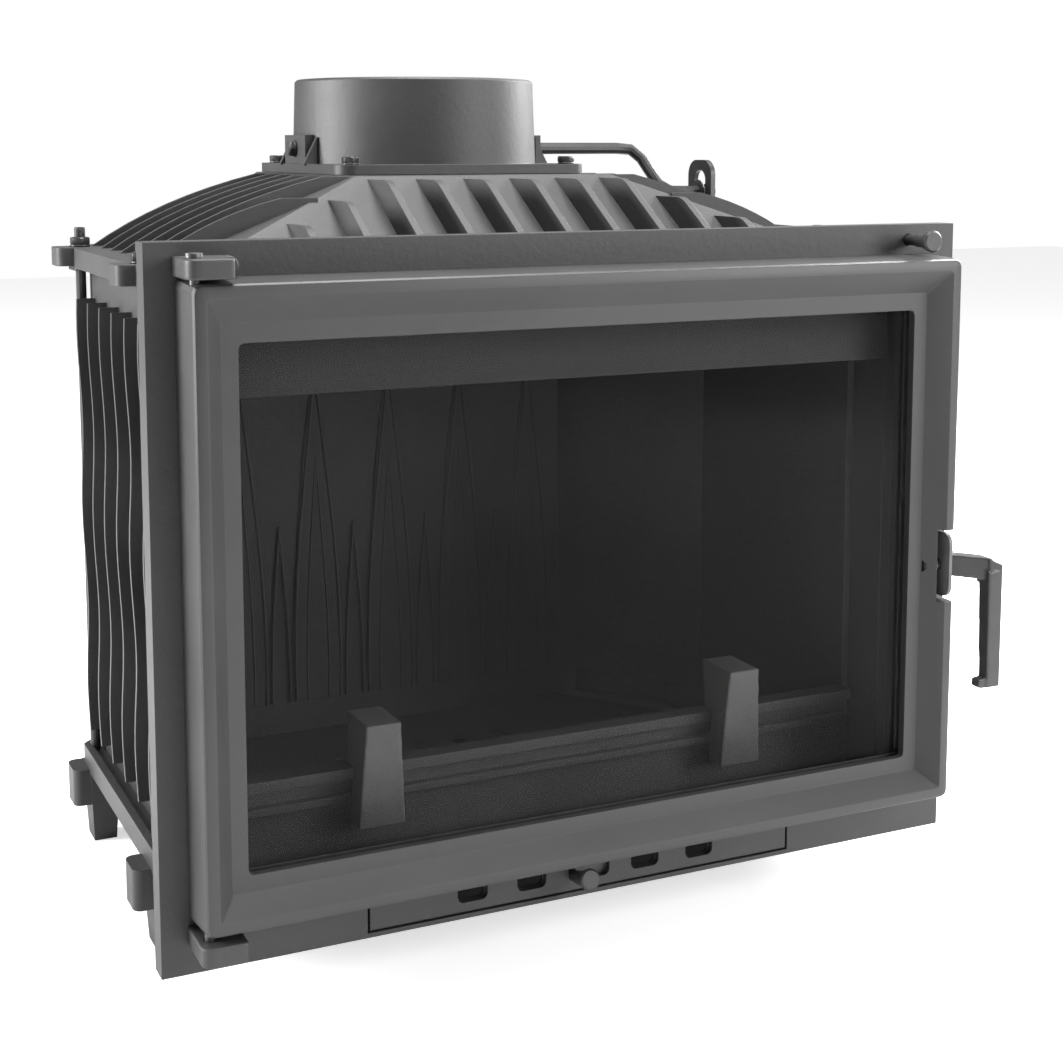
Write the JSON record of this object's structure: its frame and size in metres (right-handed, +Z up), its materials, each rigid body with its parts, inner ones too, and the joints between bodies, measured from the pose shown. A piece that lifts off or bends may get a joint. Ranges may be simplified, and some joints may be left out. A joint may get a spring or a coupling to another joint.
{
  "type": "fireplace insert",
  "caption": "Cast iron fireplace insert with a framed glass door, a ribbed smoke hood under a round flue collar, a damper worked by a pull rod, and a sliding air register.",
  "frame": {"origin": "on the ground under the flue collar's axis, on the underside of the ash box", "axes": "+Z up along the flue, -Y out through the glass door to the room, +X to the door's handle side"},
  "size_m": [0.697, 0.5465, 0.69],
  "materials": {
    "body_castings": "satin dark grey heat-resistant coat over sand-cast iron",
    "door_casting": "satin dark grey heat-resistant coat over finely ground cast iron",
    "lining_castings": "matt near-black heat-resistant coat over cast iron",
    "black_steel": "satin black heat-resistant coat over steel",
    "bare_steel": "blackened steel, lightly worn",
    "rope_seals": "braided glass fibre rope, dark grey",
    "door_pane": "clear heat-resistant ceramic glass, faintly grey"
  },
  "bodies": {
    "casing": {"front_plate": "body_castings", "base_casting": "body_castings", "top_casting": "body_castings", "right_side_wall": "body_castings", "left_side_wall": "body_castings", "back_wall": "body_castings", "flue_collar": "body_castings", "hinge_bracket_top": "body_castings", "hinge_bracket_bottom": "body_castings", "air_panel": "body_castings", "right_liner": "lining_castings", "left_liner": "lining_castings", "back_liner": "lining_castings", "hearth_plate": "lining_castings", "ash_grate": "lining_castings", "hearth_rail": "lining_castings", "log_guard_right": "lining_castings", "log_guard_left": "lining_castings", "air_deflector": "lining_castings", "smoke_baffle": "lining_castings", "ash_box": "black_steel", "hinge_pin_top": "bare_steel", "hinge_pin_bottom": "bare_steel", "latch_keeper": "bare_steel", "ash_pan": "bare_steel", "tie_rod_front_right": "bare_steel", "tie_rod_front_left": "bare_steel", "tie_rod_rear_right": "bare_steel", "tie_rod_rear_left": "bare_steel", "tie_nut_front_right": "bare_steel", "tie_nut_front_left": "bare_steel", "tie_nut_rear_right": "bare_steel", "tie_nut_rear_left": "bare_steel"},
    "door": {"door_frame": "door_casting", "door_glass": "door_pane", "glass_seal": "rope_seals", "door_seal": "rope_seals", "glass_retainer_right": "bare_steel", "glass_retainer_left": "bare_steel", "glass_retainer_top": "bare_steel", "glass_retainer_bottom": "bare_steel", "latch_plate": "bare_steel"},
    "handle_unit": {"handle": "black_steel", "latch_cam": "bare_steel"},
    "damper": {"damper_disc": "lining_castings", "damper_shaft": "black_steel"},
    "pull_rod_unit": {"pull_rod": "black_steel", "pull_knob": "black_steel"},
    "air_register": {"air_slider": "bare_steel", "air_knob": "black_steel"}
  },
  "joints": [
    {"name": "door_swing", "type": "hinge", "parent": "casing", "child": "door", "pos_m": [-0.312, -0.393, 0.312], "axis": [0, 0, -1], "range_deg": [0, 115]},
    {"name": "handle_turn", "type": "hinge", "parent": "door", "child": "handle_unit", "pos_m": [0.31, -0.39, 0.283], "axis": [-1, 0, 0], "range_deg": [0, 80]},
    {"name": "damper_turn", "type": "hinge", "parent": "casing", "child": "damper", "pos_m": [0, 0, 0.6274], "axis": [1, 0, 0], "range_deg": [-22, 18]},
    {"name": "pull_rod_slide", "type": "slide", "parent": "casing", "child": "pull_rod_unit", "axis": [0, -1, 0], "range_m": [-0.0135, 0.0165]},
    {"name": "air_slide", "type": "slide", "parent": "casing", "child": "air_register", "axis": [1, 0, 0], "range_m": [0, 0.022]}
  ],
  "couplings": [
    {"joint": "pull_rod_slide", "follows": "damper_turn", "m_per_rad": -0.041}
  ]
}
